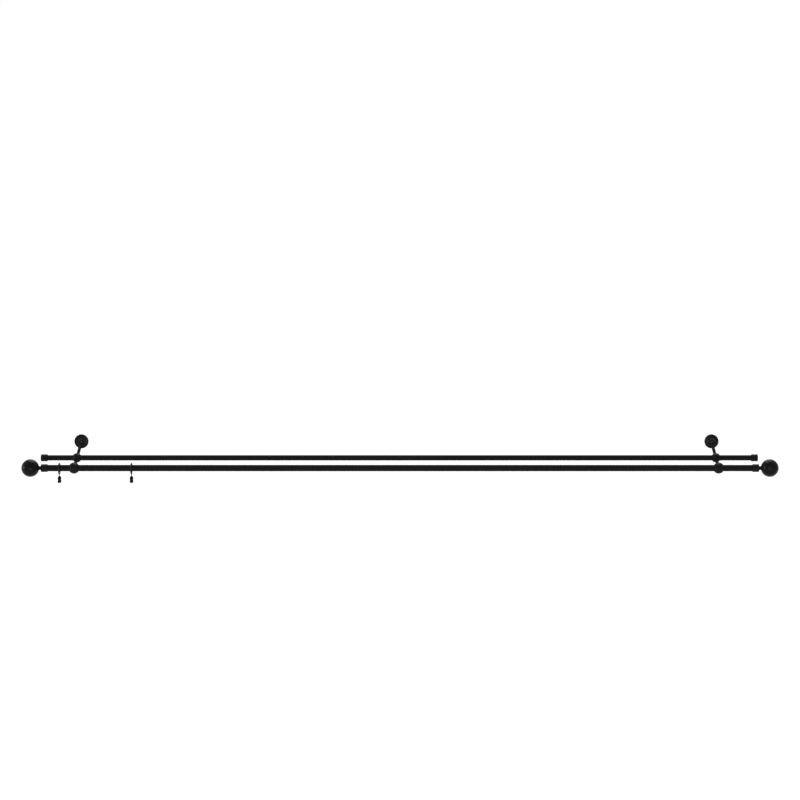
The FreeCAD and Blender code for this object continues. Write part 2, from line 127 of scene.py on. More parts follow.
THREAD_PITCH = 0.8 * MM
THREAD_DEPTH = 0.4 * MM
SCREW_RADIUS = 2.5 * MM
SCREW_HEAD_RADIUS = 4.75 * MM
SCREW_HEAD_HEIGHT = 2.8 * MM
SCREW_HEAD_EDGE = 0.5 * MM
GRUB_RADIUS = {
    "rear_holder_grub_screws": 2.5 * MM,
    "front_holder_grub_screws": 2.5 * MM,
    "socket_grub_screws": 2.0 * MM,
}
HEXAGON_SHARE = 0.5
HEXAGON_CHAMFER_SHARE = 0.06
HEXAGON_DEPTH_SHARE = 0.8

RING_THICKNESS = 5.6 * MM
RING_EDGE = 1.1 * MM
RING_RUB_BEGIN = 11.0 * MM
RING_RUB_FULL = 10.0 * MM

SPRING_WIRE = 0.25 * MM
SPRING_COIL = 1.25 * MM
SPRING_PITCH = 0.75 * MM
SPRING_TURNS = 2
SPRING_LEG = 4.2 * MM
SPRING_REAR_REACH = 1.70 * MM
SPRING_FRONT_REACH = 2.458 * MM

PIN_RADIUS = 0.8 * MM
PIN_EDGE = 0.2 * MM
TOOTH_RADIUS = 0.11 * MM
TOOTH_HALF_LENGTH = 4.2 * MM
TOOTH_PITCH = 0.42 * MM
TOOTH_FOOT = 0.28 * MM
TOOTH_COUNT = 3
LIP_GAP = 0.15 * MM

SOFT_EDGE = {"clip": 0.2 * MM, "holder": 0.35 * MM, "plate": 0.4 * MM, "eyelet": 0.25 * MM}
SHARP_ANGLE = math.radians(32)
FLAT_ANGLE = math.radians(0.5)
MERGE_DISTANCE = 0.001 * MM

# How finely the surfaces are divided: faces round each kind of piece, and rows of points along it

ROUND = {
    "rod": 96, "ball": 144, "arm": 64, "weld": 16, "screw": 48,
    "ring": 128, "pin": 32, "wire": 14, "tooth": 12,
}
CORNER_ROWS = 6
END_ROWS = 6
BEAD_ROWS = 33
BALL_ROWS = 80
RIPPLE_ROWS = 12
THREAD_ROWS = 10
COIL_ROWS = 48
LEG_ROWS = 8


# Finishes

class Socket:
    """An output of a node. Python's operators on it, or on it and a number, add Math nodes."""

    def __init__(self, nodes, output):
        self.nodes = nodes
        self.output = output

    def math(self, operation, first, second):
        """One Math node on two sockets, or on a socket and a number."""
        return self.nodes.node("ShaderNodeMath", {"operation": operation}, {0: first, 1: second})

    def __add__(self, other):
        return self.math("ADD", self, other)

    def __radd__(self, other):
        return self.math("ADD", other, self)

    def __sub__(self, other):
        return self.math("SUBTRACT", self, other)

    def __rsub__(self, other):
        return self.math("SUBTRACT", other, self)

    def __mul__(self, other):
        return self.math("MULTIPLY", self, other)

    def __rmul__(self, other):
        return self.math("MULTIPLY", other, self)

    def __pow__(self, other):
        return self.math("POWER", self, other)

    def __rpow__(self, other):
        return self.math("POWER", other, self)


class Nodes:
    """The nodes of a material or world, from an empty tree on."""

    def __init__(self, tree):
        self.tree = tree
        self.tree.nodes.clear()

    def node(self, kind, settings=None, values=None, output=0):
        """Adds a node: its settings first, then the values or links of its sockets. Returns one output."""
        made = self.tree.nodes.new(kind)
        for key, value in (settings or {}).items():
            setattr(made, key, value)
        for key, value in (values or {}).items():
            socket = self.find(made.inputs, key)
            if isinstance(value, Socket):
                self.tree.links.new(value.output, socket)
            else:
                socket.default_value = value
        if not made.outputs:
            return None
        return Socket(self, self.find(made.outputs, output))

    @staticmethod
    def find(sockets, key):
        """The socket at an index, or the enabled one with an identifier or name."""
        if isinstance(key, int):
            return sockets[key]
        return next(s for s in sockets if s.enabled and key in (s.identifier, s.name))

    def seen(self):
        """1 on rays that see the surface, straight, reflected or through glass, and 0 on all others."""
        rays = ("Is Camera Ray", "Is Glossy Ray", "Is Transmission Ray")
        camera, glossy, transmission = (self.node("ShaderNodeLightPath", output=ray) for ray in rays)
        return camera + glossy + transmission


class Finish(Nodes):
    """One procedural material, read from Object coordinates."""

    def __init__(self, name):
        self.material = bpy.data.materials.new(name)
        self.material.use_nodes = True
        super().__init__(self.material.node_tree)
        self.place = self.node("ShaderNodeTexCoord", output="Object")

    def noise(self, scale, detail=2.0, roughness=0.5):
        """Smooth noise about 0.5. The scale, in turns a metre, is one number or one for each axis."""
        scale = (scale,) * 3 if isinstance(scale, float) else scale
        place = self.node("ShaderNodeVectorMath", {"operation": "MULTIPLY"}, {0: self.place, 1: scale})
        values = {"Vector": place, "Scale": 1.0, "Detail": detail, "Roughness": roughness}
        return self.node("ShaderNodeTexNoise", None, values, "Fac")

    def coordinate(self, axis):
        """One of the Object coordinates X, Y and Z, in metres."""
        return self.node("ShaderNodeSeparateXYZ", None, {0: self.place}, axis)

    def from_front_axis(self):
        """Distance from the front rod's axis, in metres."""
        depth = self.coordinate("Y") - front_axis[1]
        height = self.coordinate("Z") - front_axis[2]
        return (depth * depth + height * height) ** 0.5

    def between(self, factor, low, high):
        """Maps a factor from low to high onto 0 to 1, and clamps it."""
        values = {"Value": factor, "From Min": low, "From Max": high}
        return self.node("ShaderNodeMapRange", {"clamp": True}, values)

    def drift(self, scale, detail=4.0, roughness=0.6):
        """A slow change over the piece, from 0 to 1."""
        return self.between(self.noise(scale, detail, roughness), 0.32, 0.68)

    def blend(self, factor, first, second):
        """A mix of two colours."""
        values = {"Factor_Float": factor, "A_Color": first, "B_Color": second}
        return self.node("ShaderNodeMix", {"data_type": "RGBA"}, values, "Result_Color")

    def bump(self, height, distance, under=None):
        """The normal of a relief that is a distance high, in metres, and may lie over another relief."""
        values = {"Height": height, "Distance": distance, "Strength": 1.0}
        if under is not None:
            values["Normal"] = under
        return self.node("ShaderNodeBump", None, values)

    def shade(self, colour, roughness, normal, **others):
        """The Principled shader and the output. Names of other sockets have underscores for spaces."""
        values = {"Base Color": colour, "Roughness": roughness, "Normal": normal}
        for key, value in others.items():
            values[key.replace("_", " ")] = value
        shader = self.node("ShaderNodeBsdfPrincipled", None, values)
        self.node("ShaderNodeOutputMaterial", None, {"Surface": shader})
        return self.material


def grey(level, warmth=0.0):
    """A grey of a level, with its red raised and its blue lowered by the warmth."""
    return (level * (1 + warmth), level, level * (1 - warmth), 1.0)


def powder_coat(name, level, roughness, specular, peel_height=0.06 * MM):
    """Satin powder coat: an orange-peel skin with fine specks, whose shade and gloss drift."""
    finish = Finish(name)
    peel = finish.noise(1300.0, detail=1.5)
    drift = finish.drift(22.0)
    speck = finish.between(finish.noise(3000.0, detail=1.0), 0.6, 0.74)
    dust = finish.between(finish.noise(420.0), 0.62, 0.72)
    paleness = drift * 0.6 + speck * 0.25 + dust * 0.4
    colour = finish.blend(paleness, grey(level * 0.65), grey(level * 2.1, warmth=0.02))
    gloss = roughness - 0.08 + drift * 0.14 + speck * 0.1 + dust * 0.16
    skin = finish.bump(finish.noise(3600.0, detail=1.0), peel_height / 4)
    return finish.shade(colour, gloss, finish.bump(peel, peel_height, skin), Specular_IOR_Level=specular)


def rod_coat(level, roughness, specular):
    """The rods' coat: powder coat over drawn tube, polished in fine lines on top where the rings run."""
    finish = Finish("rod_coat")
    drawn = finish.noise((5.0, 1300.0, 1300.0), detail=3.0, roughness=0.6)
    peel = finish.noise((450.0, 900.0, 900.0), detail=1.5)
    drift = finish.drift((3.5, 25.0, 25.0))
    height = finish.coordinate("Z") - front_axis[2]
    on_top = finish.between(height, ROD_RUB_BEGIN, ROD_RUB_FULL)
    below_rear_rod = finish.between(height, ROD_RUB_OVER + MM, ROD_RUB_OVER)
    rubbed = on_top * below_rear_rod * finish.between(drawn, 0.44, 0.6)
    coat = finish.blend(drift, grey(level * 0.7), grey(level * 1.6, warmth=0.02))
    colour = finish.blend(rubbed, coat, grey(level * 4.0, warmth=0.03))
    gloss = roughness - 0.05 + drift * 0.1 - rubbed * 0.14
    skin = finish.bump(drawn, 0.012 * MM)
    return finish.shade(colour, gloss, finish.bump(peel, 0.05 * MM, skin), Specular_IOR_Level=specular)


def worn_ring_coat(level, roughness, specular):
    """The rings' coat: satin black, scuffed, and rubbed grey inside the top where a ring hangs."""
    finish = Finish("ring_coat")
    peel = finish.noise(1000.0, detail=1.5)
    drift = finish.drift(60.0)
    scuffs = finish.between(finish.noise((2600.0, 240.0, 240.0), detail=3.0), 0.56, 0.72)
    inside = finish.between(finish.from_front_axis(), RING_RUB_BEGIN, RING_RUB_FULL)
    patchy = finish.between(finish.noise(500.0, detail=3.0), 0.35, 0.6)
    worn = scuffs * 0.5 + inside * patchy
    coat = finish.blend(drift, grey(level * 0.7), grey(level * 1.4, warmth=0.02))
    colour = finish.blend(finish.between(worn, 0.0, 1.0), coat, grey(level * 3.0, warmth=0.03))
    gloss = roughness + drift * 0.08 - worn * 0.1
    return finish.shade(colour, gloss, finish.bump(peel, 0.04 * MM), Specular_IOR_Level=specular)


def moulded_plastic(level, roughness, specular):
    """The clips' plastic: a spark-eroded grain, polished where it stands proud, with flow marks."""
    finish = Finish("clip_plastic")
    grain = finish.noise(4200.0)
    flow = finish.drift((160.0, 160.0, 60.0), detail=3.0, roughness=0.5)
    proud = finish.between(grain, 0.5, 0.68)
    colour = finish.blend(flow * 0.6 + proud * 0.4, grey(level * 0.7), grey(level * 1.8))
    gloss = roughness + flow * 0.1 - proud * 0.12
    return finish.shade(colour, gloss, finish.bump(grain, 0.009 * MM), Specular_IOR_Level=specular)


def steel(name, level, roughness, drawn_scale):
    """Turned or drawn steel: fine marks at the drawn scale, which vary its gloss and relief."""
    finish = Finish(name)
    marks = finish.noise(drawn_scale, detail=3.0, roughness=0.6)
    stain = finish.between(finish.noise(300.0, detail=3.0), 0.42, 0.68)
    colour = finish.blend(stain, grey(level, warmth=0.01), grey(level * 0.7, warmth=0.05))
    gloss = roughness + finish.between(marks, 0.3, 0.7) * 0.12 + stain * 0.08
    return finish.shade(colour, gloss, finish.bump(marks, 0.002 * MM), Metallic=1.0)


# Surfaces: each gives a grid's points and faces

def unit(vector):
    """The vector of length 1 with the same direction."""
    return np.asarray(vector, float) / np.linalg.norm(vector)


def crosswise(axis):
    """Two unit vectors square to an axis and to each other."""
    other = (0, 0, 1) if abs(axis[2]) < 0.9 else (0, 1, 0)
    side = unit(np.cross(axis, other))
    return side, np.cross(axis, side)


def circle(count):
    """cos t and sin t for angles t spaced evenly over a turn."""
    turn = np.linspace(0, 2 * math.pi, count, endpoint=False)
    return np.cos(turn), np.sin(turn)


def spokes_about(axis, count):
    """Unit vectors cos t side + sin t up about an axis."""
    side, up = crosswise(axis)
    cosine, sine = circle(count)
    return cosine[:, None] * side + sine[:, None] * up


def grid(points, round_rows=False, poles=False):
    """A grid of points whose columns close on themselves. Rows may close too, or end in poles."""
    rows, columns = points.shape[:2]
    index = np.arange(rows * columns).reshape(rows, columns)
    if poles:
        index[0] = index[0, 0]
        index[-1] = index[-1, 0]
    if round_rows:
        index = np.vstack([index, index[:1]])
    index = np.hstack([index, index[:, :1]])
    corners = (index[:-1, :-1], index[:-1, 1:], index[1:, 1:], index[1:, :-1])
    return points.reshape(-1, 3), np.stack(corners, axis=-1).reshape(-1, 4)


def rounded(a, corner, b, s):
    """The parabola (1-s)^2 a + 2s(1-s) c + s^2 b, which rounds the corner c from a to b."""
    return (1 - s) ** 2 * a + 2 * s * (1 - s) * corner + s ** 2 * b


def outline(corners, closed=True):
    """A profile of (distance, radius, rounding) corners.

    A corner with a rounding is the parabola between the points that lie that rounding before and
    after it. Other corners are one point.
    """
    corners = np.array(corners, float)
    last = len(corners) - 1
    s = np.linspace(0, 1, CORNER_ROWS)[:, None]
    found = []
    for i, (*corner, rounding) in enumerate(corners):
        corner = np.array(corner)
        if rounding == 0 or (not closed and i in (0, last)):
            found.append(corner[None])
            continue
        a = corner + unit(corners[i - 1, :2] - corner) * rounding
        b = corner + unit(corners[(i + 1) % (last + 1), :2] - corner) * rounding
        found.append(rounded(a, corner, b, s))
    return np.vstack(found)


def lathe(profile, start, direction, segments, closed=True):
    """Turned surface: start + d axis + r (cos t side + sin t up) for each (d, r) of the profile."""
    axis = unit(direction)
    along, radius = profile.T[:, :, None, None]
    points = np.asarray(start) + along * axis + radius * spokes_about(axis, segments)
    return grid(points, round_rows=closed, poles=not closed)


def swept(path, radii, segments):
    """Tube: p(s) + r(s) (cos t n(s) + sin t b(s)), where n and b are square to the path's direction.

    The first and last radius are zero, so that both ends close in a pole.
    """
    direction = np.gradient(path, axis=0)
    direction /= np.linalg.norm(direction, axis=1)[:, None]
    normal = np.cross(direction, crosswise(unit(path[-1] - path[0]))[0])
    normal /= np.linalg.norm(normal, axis=1)[:, None]
    binormal = np.cross(direction, normal)
    cosine, sine = circle(segments)
    spokes = cosine[:, None] * normal[:, None] + sine[:, None] * binormal[:, None]
    return grid(path[:, None] + radii[:, None, None] * spokes, poles=True)


def end_rows(radius):
    """Distances of rows along a half-round end, r (1 - cos a) for angles a up to a quarter turn."""
    return radius * (1 - np.cos(np.linspace(0, math.pi / 2, END_ROWS)))


def round_ended(length_along, total, radius):
    """Radius along a bar with half-round ends: r sqrt(1 - (1 - e / r)^2) at e, up to r, from an end."""
    from_end = np.minimum(length_along, total - length_along)
    short = 1 - np.clip(from_end / radius, 0, 1)
    return radius * np.sqrt(np.clip(1 - short ** 2, 0, 1))


def half_round(start, end, radius, segments):
    """A straight bar with half-round ends: p(s) + r(s) (cos t side + sin t up)."""
    total = np.linalg.norm(end - start)
    rows = end_rows(radius)
    along = np.concatenate([rows, total - rows[::-1]])
    path = start + (along / total)[:, None] * (end - start)
    radii = round_ended(along, total, radius)
    spokes = spokes_about(unit(end - start), segments)
    return grid(path[:, None] + radii[:, None, None] * spokes, poles=True)


def signed_volume(points, faces):
    """A closed surface's volume, times a constant, which is below zero where its faces point inwards."""
    a, b, c, d = (points[faces[:, i]] for i in range(4))
    return (a * np.cross(b, c)).sum() + (a * np.cross(c, d)).sum()


def make_mesh(name, surfaces):
    """One mesh of closed surfaces. Each one's faces are turned outwards by the sign of its volume."""
    vertices, polygons, used = [], [], 0
    for points, faces in surfaces:
        if signed_volume(points, faces) < 0:
            faces = faces[:, ::-1]
        kept, faces = np.unique(faces, return_inverse=True)
        faces = faces.reshape(-1, 4) + used
        vertices.append(points[kept])
        first_pole = faces[:, 0] == faces[:, 1]
        last_pole = faces[:, 2] == faces[:, 3]
        polygons += faces[~(first_pole | last_pole)].tolist()
        polygons += faces[first_pole][:, 1:].tolist()
        polygons += faces[last_pole][:, :3].tolist()
        used += len(kept)
    mesh = bpy.data.meshes.new(name)
    mesh.from_pydata(np.vstack(vertices).tolist(), [], polygons)
    return mesh


def add_mesh(name, mesh, finish, slot, body, *replaced, soft_edge=0.0):
    """A piece of the pole: its mesh and finish, the body it rides on and the nodes it stands for. The slot is not
    used.
    """
    mesh.shade_smooth()
    mesh.materials.append(finish)
    piece = bpy.data.objects.new(name, mesh)
    bpy.context.scene.collection.objects.link(piece)
    if soft_edge:
        bevel = piece.modifiers.new("soft_edges", "BEVEL")
        bevel.width = soft_edge
        bevel.segments = 2
        bevel.limit_method = "ANGLE"
        bevel.angle_limit = SHARP_ANGLE
        bevel.harden_normals = True
    piece.modifiers.new("even_normals", "WEIGHTED_NORMAL")
    if body:
        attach(piece, body)
    if replaced:
        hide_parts(*replaced)
    return piece


def add_piece(name, surfaces, *labels):
    """A piece of closed surfaces, with the labels that add_mesh takes."""
    return add_mesh(name, make_mesh(name, surfaces), *labels)


# Pieces

def centre_of(node):
    """The middle of a node's box."""
    low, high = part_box(node)
    return np.array((low + high) / 2)


def half_height(node):
    """Half the height of a node's box, which is the radius of one turned about X."""
    low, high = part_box(node)
    return (high.z - low.z) / 2


def rod_ends(rod):
    """Each end of a rod: its side, the point on its axis and the way outwards."""
    low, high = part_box(rod)
    for side, x, outward in (("left", low.x, -1), ("right", high.x, 1)):
        yield side, rod_axes[rod] + (x, 0, 0), np.array((outward, 0, 0))


def rod_tube(node, finish):
    """A drawn tube, turned from a wall section with softened ends."""
    low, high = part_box(node)
    length = high.x - low.x
    radius = half_height(node)
    section = outline([
        (0, radius, ROD_EDGE),
        (length, radius, ROD_EDGE),
        (length, radius - ROD_WALL, ROD_EDGE),
        (0, radius - ROD_WALL, ROD_EDGE),
    ])
    start = centre_of(node) * (0, 1, 1) + (low.x, 0, 0)
    surface = lathe(section, start, ALONG_RODS, ROUND["rod"])
    add_piece(node + "_tube", [surface], finish, "rod_black", "pole", node)


def beaded(begin, end, radius):
    """Profile of two beads side by side between softened edges.

    A bead of half-width w about m is low + h (1 - ((d - m) / w)^2), and the two meet in a groove.
    """
    low = radius - BEAD_HEIGHT
    first, last = begin + CAP_EDGE, end - CAP_EDGE
    half_width = (last - first) / 4
    d = np.linspace(first, last, BEAD_ROWS)
    within = ((d - first) % (2 * half_width)) / half_width - 1
    crown = np.stack([d, low + BEAD_HEIGHT * (1 - within ** 2)], axis=-1)
    s = np.linspace(0, 1, CORNER_ROWS)[:-1, None]
    rise = rounded((begin, low - CAP_EDGE), (begin, low), (first, low), s)
    fall = rounded((end, low - CAP_EDGE), (end, low), (last, low), s)
    return np.vstack([rise, crown, fall[::-1]])


def rear_caps(finish):
    """Beaded caps over the rear rod's ends, turned from one profile with a blind bore."""
    bore = half_height("rear_rod") + SLIP_FIT
    for side, end, outward in rod_ends("rear_rod"):
        node = side + "_rear_cap"
        low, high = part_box(node)
        length = high.x - low.x - CAP_DEPTH
        outside = beaded(-CAP_DEPTH, length, half_height(node))
        profile = np.vstack([[(0, 0), (0, bore), (-CAP_DEPTH, bore)], outside, [(length, 0)]])
        surface = lathe(profile, end, outward, ROUND["rod"], closed=False)
        add_piece(node + "_turned", [surface], finish, "fitting_black", "pole", node)


def finial_balls(finish):
    """The balls, turned from pole to flat, (R (1 - cos t), R sin t) for angles t, and on into the bore."""
    for side, end, outward in rod_ends("front_rod"):
        node = side + "_finial_ball"
        low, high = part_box(node)
        radius = half_height(node)
        length = high.x - low.x
        t = np.linspace(0, math.acos(1 - length / radius), BALL_ROWS)
        crown = np.stack([radius * (1 - np.cos(t)), radius * np.sin(t)], axis=-1)
        floor = length - BALL_BORE_DEPTH
        bore = [(length, BALL_BORE_RADIUS), (floor, BALL_BORE_RADIUS), (floor, 0)]
        pole = end * (0, 1, 1) + (low.x if side == "left" else high.x, 0, 0)
        surface = lathe(np.vstack([crown, bore]), pole, -outward, ROUND["ball"], closed=False)
        add_piece(node + "_turned", [surface], finish, "ball_black", "pole", node)


def arm_profile(begin, end, begin_spigot, end_spigot):
    """A bar between two shoulders with soft edges, and a spigot beyond each shoulder that has one."""
    corners = [(begin, 0, 0), (begin, ARM_RADIUS, 0)]
    if begin_spigot:
        corners = [
            (begin - begin_spigot, 0, 0),
            (begin - begin_spigot, SPIGOT_RADIUS, ARM_SHOULDER_EDGE),
            (begin, SPIGOT_RADIUS, 0),
            (begin, ARM_RADIUS, ARM_SHOULDER_EDGE),
        ]
    corners += [
        (end, ARM_RADIUS, ARM_SHOULDER_EDGE),
        (end, SPIGOT_RADIUS, 0),
        (end + end_spigot, SPIGOT_RADIUS, ARM_SHOULDER_EDGE),
        (end + end_spigot, 0, 0),
    ]
    return outline(corners, closed=False)


def seat(holder_radius):
    """Distance from a holder's middle to an arm's shoulder, which just enters the ball."""
    return math.sqrt(holder_radius ** 2 - ARM_RADIUS ** 2) - SLIP_FIT


def spigot(holder_radius, rod):
    """Length of the spigot from the shoulder towards the rod's bore."""
    return seat(holder_radius) - half_height(rod) - SLIP_FIT - SPIGOT_END_GAP


def bracket_arms(side, finish):
    """The long and the short arm of a bracket.

    The long one's first rows slide along it until they lie in one plane parallel to the wall, at
    (inset - r spoke_y) / direction_y for each spoke.
    """
    rear = np.linalg.norm(rear_axis)
    front = np.linalg.norm(front_axis)
    behind = spigot(REAR_HOLDER_RADIUS, "rear_rod")
    ahead = spigot(FRONT_HOLDER_RADIUS, "front_rod")
    rear_seat, front_seat = seat(REAR_HOLDER_RADIUS), seat(FRONT_HOLDER_RADIUS)
    wall = wall_points[side]
    profile = arm_profile(0, rear - rear_seat, 0, behind)
    points, faces = lathe(profile, wall, arm_direction, ROUND["arm"], closed=False)
    rows = points.reshape(len(profile), ROUND["arm"], 3)
    rows[:2] += arm_direction * ((-ARM_ROOT_INSET - rows[:2, :, 1:2]) / arm_direction[1])
    node = side + "_long_arm"
    add_piece(node + "_bar", [(points, faces)], finish, "fitting_black", "pole", node)
    profile = arm_profile(rear + rear_seat, front - front_seat, behind, ahead)
    surface = lathe(profile, wall, arm_direction, ROUND["arm"], closed=False)
    node = side + "_short_arm"
    add_piece(node + "_bar", [surface], finish, "fitting_black", "pole", node)


def weld_bead(side, finish):
    """The weld round the arm on its plate: a small tube along the ellipse where the arm leaves the plate.

    The tube's radius is w + h cos(n t), which gives the weld its ripples.
    """
    turn = np.linspace(0, 2 * math.pi, RIPPLE_ROWS * WELD_RIPPLES, endpoint=False)
    cosine, sine = np.cos(turn), np.sin(turn)
    slant = -arm_direction[1]
    centre = wall_points[side] + arm_direction * PLATE_THICKNESS / slant
    ellipse = centre + np.stack([ARM_RADIUS * cosine, 0 * cosine, ARM_RADIUS / slant * sine], axis=-1)
    outwards = np.stack([cosine, 0 * cosine, sine * slant], axis=-1)
    outwards /= np.linalg.norm(outwards, axis=1)[:, None]
    radii = WELD_RADIUS + WELD_RIPPLE_HEIGHT * np.cos(WELD_RIPPLES * turn)
    around_cosine, around_sine = circle(ROUND["weld"])
    spokes = around_cosine[:, None] * outwards[:, None] + around_sine[:, None] * np.array((0, 1, 0))
    points = ellipse[:, None] + radii[:, None, None] * spokes
    add_piece(side + "_arm_weld", [grid(points, round_rows=True)], finish, "fitting_black", "pole")


def thread_rows(length, radius, segments):
    """Distances and radii of a threaded shank with a pointed lead.

    The radius is r - depth |2 frac(d / pitch - t / 2 pi) - 1| at a distance d and angle t.
    """
    along = np.linspace(0, length, max(2, round(length / THREAD_PITCH * THREAD_ROWS)))
    turn = np.linspace(0, 1, segments, endpoint=False)
    depth = THREAD_DEPTH * np.abs(2 * ((along[:, None] / THREAD_PITCH - turn) % 1) - 1)
    lead = THREAD_DEPTH * np.clip(1 - along / THREAD_PITCH, 0, 1)[:, None]
    return along, radius - np.maximum(depth, lead)


def hexagon_radius(apothem, segments):
    """A hexagon's radius: apothem / cos(t - the nearest sixth of a turn)."""
    turn = np.linspace(0, 2 * math.pi, segments, endpoint=False)
    sixth = math.pi / 3
    return apothem / np.cos((turn + sixth / 2) % sixth - sixth / 2)


def screw(tip, direction, length, radius, head_radius=None, head_height=0.0):
    """A threaded screw with a hexagon socket.

    Its rows are (distance, radius for each angle), from the tip over the thread and head to the
    socket's floor.
    """
    segments = ROUND["screw"]
    flat = np.ones(segments)
    along, radii = thread_rows(length, radius, segments)
    top = length + head_height
    outer = head_radius or radius - THREAD_DEPTH / 2
    edge = SCREW_HEAD_EDGE if head_radius else THREAD_DEPTH / 2
    hexagon = hexagon_radius(HEXAGON_SHARE * radius, segments)
    floor = top - HEXAGON_DEPTH_SHARE * radius
    rows = [(0.0, 0 * flat), *zip(along, radii)]
    if head_radius:
        rows.append((length, outer * flat))
    rows += [
        (top - edge, outer * flat),
        (top - edge / 3, (outer - edge / 3) * flat),
        (top, (outer - edge) * flat),
        (top, hexagon * (1 + HEXAGON_CHAMFER_SHARE)),
        (top - HEXAGON_CHAMFER_SHARE * radius, hexagon),
        (floor, hexagon),
        (floor, 0 * flat),
    ]
    distances = np.array([distance for distance, row in rows])
    radius_map = np.stack([row for distance, row in rows])
    spokes = spokes_about(direction, segments)
    return grid(tip + distances[:, None, None] * direction + radius_map[:, :, None] * spokes, poles=True)


def finial_screws(finish):
    """The screws from inside the front rod, through the sockets' necks and into the balls."""
    low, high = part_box("finial_screws")
    surfaces = []
    for tip_x, (side, end, outward) in zip((low.x, high.x), rod_ends("front_rod")):
        tip = end * (0, 1, 1) + (tip_x, 0, 0)
        length = abs(tip_x - end[0])
        head = (SCREW_HEAD_RADIUS, SCREW_HEAD_HEIGHT)
        surfaces.append(screw(tip, -outward, length, SCREW_RADIUS, *head))
    add_piece("threaded_finial_screws", surfaces, finish, "screw_steel", "pole", "finial_screws")


def grub_screws(finish):
    """The headless screws under the holders and sockets. The rosettes' slanted ones stay as they are."""
    for node, radius in GRUB_RADIUS.items():
        low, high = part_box(node)
        surfaces = []
        for x in (low.x + radius, high.x - radius):
            tip = np.array((x, (low.y + high.y) / 2, high.z))
            surfaces.append(screw(tip, DOWN, high.z - low.z, radius))
        add_piece("threaded_" + node, surfaces, finish, "screw_steel", "pole", node)


def curtain_ring(name, finish):
    """A flat ring turned about X from a rounded section."""
    node = name + "_ring"
    low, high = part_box(node)
    outer = (high.y - low.y) / 2
    width = high.x - low.x
    section = outline([
        (0, outer - RING_THICKNESS, RING_EDGE),
        (0, outer, RING_EDGE),
        (width, outer, RING_EDGE),
        (width, outer - RING_THICKNESS, RING_EDGE),
    ])
    surface = lathe(section, centre_of(node) - (width / 2, 0, 0), ALONG_RODS, ROUND["ring"])
    add_piece(node + "_turned", [surface], finish, "ring_black", node, node)


def clip_pin(name, which, finish):
    """A pin with soft ends."""
    node = name + "_clip_" + which + "_pin"
    low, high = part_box(node)
    length = high.x - low.x
    profile = outline([
        (0, 0, 0),
        (0, PIN_RADIUS, PIN_EDGE),
        (length, PIN_RADIUS, PIN_EDGE),
        (length, 0, 0),
    ], closed=False)
    start = centre_of(node) - (length / 2, 0, 0)
    surface = lathe(profile, start, ALONG_RODS, ROUND["pin"], closed=False)
    add_piece(node + "_turned", [surface], finish, "screw_steel", name + "_clip", node)


def torsion_spring(name, finish):
    """The clip's spring: a wire along leg, helix and leg.

    The helix is (p a / 2 pi, -R cos(f + a), -R sin(f + a)) about the pivot, for angles a from 0 up,
    and each leg runs on upwards along the tangent. f is the front leg's tilt.
    """
    pivot = np.array(joints[name + "_jaw_open"]["pos_m"])
    front_tilt = math.asin((SPRING_FRONT_REACH - SPRING_COIL) / SPRING_LEG)
    rear_tilt = math.asin((SPRING_REAR_REACH - SPRING_COIL) / SPRING_LEG)
    sweep = 2 * math.pi * (SPRING_TURNS + 0.5) - rear_tilt - front_tilt
    angle = np.linspace(0, sweep, COIL_ROWS * SPRING_TURNS)
    rise = SPRING_PITCH / (2 * math.pi)
    coil = np.stack([
        rise * (angle - sweep / 2),
        -SPRING_COIL * np.cos(front_tilt + angle),
        -SPRING_COIL * np.sin(front_tilt + angle),
    ], axis=-1)
    rounding = end_rows(SPRING_WIRE)
    leg = np.concatenate([rounding, np.linspace(rounding[-1], SPRING_LEG, LEG_ROWS)[1:-1]])[:, None]
    ends = front_tilt + angle[[0, -1]]
    tangents = np.stack([
        0 * ends + rise,
        SPRING_COIL * np.sin(ends),
        -SPRING_COIL * np.cos(ends),
    ], axis=-1)
    front_leg = coil[0] - unit(tangents[0]) * (SPRING_LEG - leg)
    rear_leg = coil[-1] + unit(tangents[1]) * (SPRING_LEG - leg[::-1])
    path = np.vstack([front_leg, coil, rear_leg])
    steps = np.linalg.norm(np.diff(path, axis=0), axis=1)
    along = np.concatenate([[0], np.cumsum(steps)])
    wire = swept(pivot + path, round_ended(along, along[-1], SPRING_WIRE), ROUND["wire"])
    node = name + "_clip_spring"
    spring = add_piece(name + "_wire_spring", [wire], finish, "spring_steel", None, node)
    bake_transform(spring)


def lip_teeth(name, finish):
    """Small teeth across the inside of both lips, as half-round bars. One lip's lie between the other's."""
    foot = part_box(name + "_clip_jaw")[0].z + TOOTH_FOOT
    pivot = joints[name + "_jaw_open"]["pos_m"]
    half = np.array((TOOTH_HALF_LENGTH, 0, 0))
    lips = ((-1, 0, "_jaw_teeth", "_jaw"), (1, TOOTH_PITCH / 2, "_body_teeth", "_clip"))
    for side, stagger, piece, body in lips:
        teeth = []
        for i in range(TOOTH_COUNT):
            middle = np.array((pivot[0], pivot[1] + side * LIP_GAP, foot + i * TOOTH_PITCH + stagger))
            teeth.append(half_round(middle - half, middle + half, TOOTH_RADIUS, ROUND["tooth"]))
        add_piece(name + piece, teeth, finish, "clip_black", name + body)


def softened(node, width, finish, slot, body):
    """A node's piece with softened edges: triangles merged, flat faces joined, sharp edges bevelled."""
    build = bmesh.new()
    build.from_mesh(frame["nodes"][node].data)
    bmesh.ops.remove_doubles(build, verts=build.verts, dist=MERGE_DISTANCE)
    bmesh.ops.dissolve_limit(build, angle_limit=FLAT_ANGLE, verts=build.verts, edges=build.edges)
    mesh = bpy.data.meshes.new(node + "_moulded")
    build.to_mesh(mesh)
    build.free()
    add_mesh(node + "_moulded", mesh, finish, slot, body, node, soft_edge=width)


# Studio and camera

